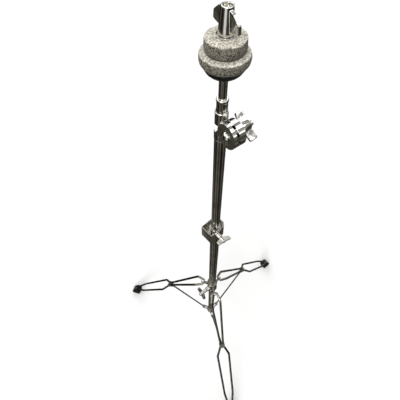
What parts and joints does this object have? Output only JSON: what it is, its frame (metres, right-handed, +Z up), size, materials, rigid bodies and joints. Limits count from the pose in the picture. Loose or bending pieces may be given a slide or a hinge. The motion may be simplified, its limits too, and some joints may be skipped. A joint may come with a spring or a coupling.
{
  "type": "cymbal stand",
  "caption": "Light folding cymbal stand: telescoping tube, offset ratchet tilter, felt washers and wing nut, bent-wire legs on a sliding hub with rubber feet.",
  "frame": {"origin": "on the tube's axis at floor level, under the middle of the three feet", "axes": "+Z up along the tube, -Y towards the front leg"},
  "size_m": [0.5834, 0.5053, 1.1312],
  "materials": {
    "chrome": "aged bright chrome plate",
    "wire_chrome": "aged chrome-plated wire",
    "grey_felt": "coarse pressed wool felt",
    "black_rubber": "matt black rubber",
    "black_seat": "black moulded seat",
    "nylon": "natural nylon",
    "brass_pad": "turned brass"
  },
  "bodies": {
    "lower_tube": {"lower_tube": "chrome", "tube_end_cap": "black_rubber", "brace_collar": "chrome", "collar_pins": "chrome", "clamp_box": "chrome", "clamp_strap": "chrome", "clamp_boss": "chrome"},
    "guide_plug": {"guide_plug": "nylon"},
    "mast": {"upper_tube": "chrome", "tilter_base": "chrome"},
    "cymbal_arm": {"tilter_head": "chrome", "tilter_bolt": "chrome", "cymbal_rod": "chrome", "rod_sleeve": "chrome", "seat_washer": "black_seat", "lower_felt": "grey_felt", "upper_felt": "grey_felt"},
    "tilter_washer": {"tilter_washer": "chrome"},
    "tilter_nut": {"tilter_wing_nut": "chrome"},
    "top_washer": {"top_washer": "chrome"},
    "top_nut": {"top_wing_nut": "chrome"},
    "clamp_pad": {"clamp_pad": "brass_pad"},
    "clamp_screw": {"clamp_wing_screw": "chrome"},
    "hub": {"leg_hub": "chrome"},
    "hub_pad": {"hub_pad": "brass_pad"},
    "hub_screw": {"hub_wing_screw": "chrome"},
    "leg_1": {"leg_wire_1": "wire_chrome", "foot_1": "black_rubber", "neck_clip_1": "chrome", "neck_pin_1": "chrome"},
    "brace_1": {"brace_1": "wire_chrome"},
    "leg_2": {"leg_wire_2": "wire_chrome", "foot_2": "black_rubber", "neck_clip_2": "chrome", "neck_pin_2": "chrome"},
    "brace_2": {"brace_2": "wire_chrome"},
    "leg_3": {"leg_wire_3": "wire_chrome", "foot_3": "black_rubber", "neck_clip_3": "chrome", "neck_pin_3": "chrome"},
    "brace_3": {"brace_3": "wire_chrome"}
  },
  "joints": [
    {"name": "height", "type": "slide", "parent": "lower_tube", "child": "guide_plug", "axis": [0, 0, 1], "range_m": [-0.2, 0.2]},
    {"name": "mast_swivel", "type": "hinge", "parent": "guide_plug", "child": "mast", "pos_m": [0, 0, 0.5], "axis": [0, 0, 1], "continuous": true},
    {"name": "tilt", "type": "hinge", "parent": "mast", "child": "cymbal_arm", "pos_m": [0.00727, -0.01559, 0.998], "axis": [0.9063, 0.4226, 0], "range_deg": [-15, 90]},
    {"name": "tilter_washer_slide", "type": "slide", "parent": "cymbal_arm", "child": "tilter_washer", "axis": [0.9063, 0.4226, 0], "range_m": [0, 0.00375]},
    {"name": "tilter_nut_turn", "type": "hinge", "parent": "tilter_washer", "child": "tilter_nut", "pos_m": [0.00727, -0.01559, 0.998], "axis": [0.9063, 0.4226, 0], "range_deg": [0, 1085]},
    {"name": "top_washer_slide", "type": "slide", "parent": "cymbal_arm", "child": "top_washer", "axis": [0, 0, 1], "range_m": [0, 0.0075]},
    {"name": "top_nut_turn", "type": "hinge", "parent": "top_washer", "child": "top_nut", "pos_m": [0, 0, 1.12], "axis": [0, 0, 1], "range_deg": [0, 2165]},
    {"name": "clamp_pad_slide", "type": "slide", "parent": "lower_tube", "child": "clamp_pad", "axis": [0.5, -0.866, 0], "range_m": [0, 0.0025]},
    {"name": "clamp_screw_turn", "type": "hinge", "parent": "clamp_pad", "child": "clamp_screw", "pos_m": [0.01, -0.01732, 0.7235], "axis": [0.5, -0.866, 0], "range_deg": [0, 725]},
    {"name": "fold", "type": "hinge", "parent": "lower_tube", "child": "brace_1", "pos_m": [0, -0.026, 0.11414], "axis": [-1, 0, 0], "range_deg": [0, 35]},
    {"name": "neck_1", "type": "hinge", "parent": "brace_1", "child": "leg_1", "pos_m": [0, -0.13533, 0.25457], "axis": [1, 0, 0], "range_deg": [0, 70]},
    {"name": "hub_on_leg_1", "type": "hinge", "parent": "leg_1", "child": "hub", "pos_m": [0, -0.026, 0.395], "axis": [-1, 0, 0], "range_deg": [0, 35]},
    {"name": "leg_2_on_hub", "type": "hinge", "parent": "hub", "child": "leg_2", "pos_m": [0.02252, 0.013, 0.395], "axis": [-0.5, 0.866, 0], "range_deg": [0, 35]},
    {"name": "neck_2", "type": "hinge", "parent": "leg_2", "child": "brace_2", "pos_m": [0.1172, 0.06767, 0.25457], "axis": [0.5, -0.866, 0], "range_deg": [0, 70]},
    {"name": "leg_3_on_hub", "type": "hinge", "parent": "hub", "child": "leg_3", "pos_m": [-0.02252, 0.013, 0.395], "axis": [-0.5, -0.866, 0], "range_deg": [0, 35]},
    {"name": "neck_3", "type": "hinge", "parent": "leg_3", "child": "brace_3", "pos_m": [-0.1172, 0.06767, 0.25457], "axis": [0.5, 0.866, 0], "range_deg": [0, 70]},
    {"name": "hub_pad_slide", "type": "slide", "parent": "hub", "child": "hub_pad", "axis": [-0.9063, -0.4226, 0], "range_m": [0, 0.0025]},
    {"name": "hub_screw_turn", "type": "hinge", "parent": "hub_pad", "child": "hub_screw", "pos_m": [-0.02719, -0.01268, 0.386], "axis": [-0.9063, -0.4226, 0], "range_deg": [0, 725]}
  ],
  "couplings": [
    {"joint": "tilter_nut_turn", "follows": "tilter_washer_slide", "rad_per_m": 5026.5},
    {"joint": "top_nut_turn", "follows": "top_washer_slide", "rad_per_m": 5026.5},
    {"joint": "clamp_screw_turn", "follows": "clamp_pad_slide", "rad_per_m": 5026.5},
    {"joint": "hub_screw_turn", "follows": "hub_pad_slide", "rad_per_m": 5026.5},
    {"joint": "neck_1", "follows": "fold", "ratio": 2},
    {"joint": "hub_on_leg_1", "follows": "fold", "ratio": 1},
    {"joint": "leg_2_on_hub", "follows": "fold", "ratio": 1},
    {"joint": "leg_3_on_hub", "follows": "fold", "ratio": 1},
    {"joint": "neck_2", "follows": "fold", "ratio": 2},
    {"joint": "neck_3", "follows": "fold", "ratio": 2}
  ]
}
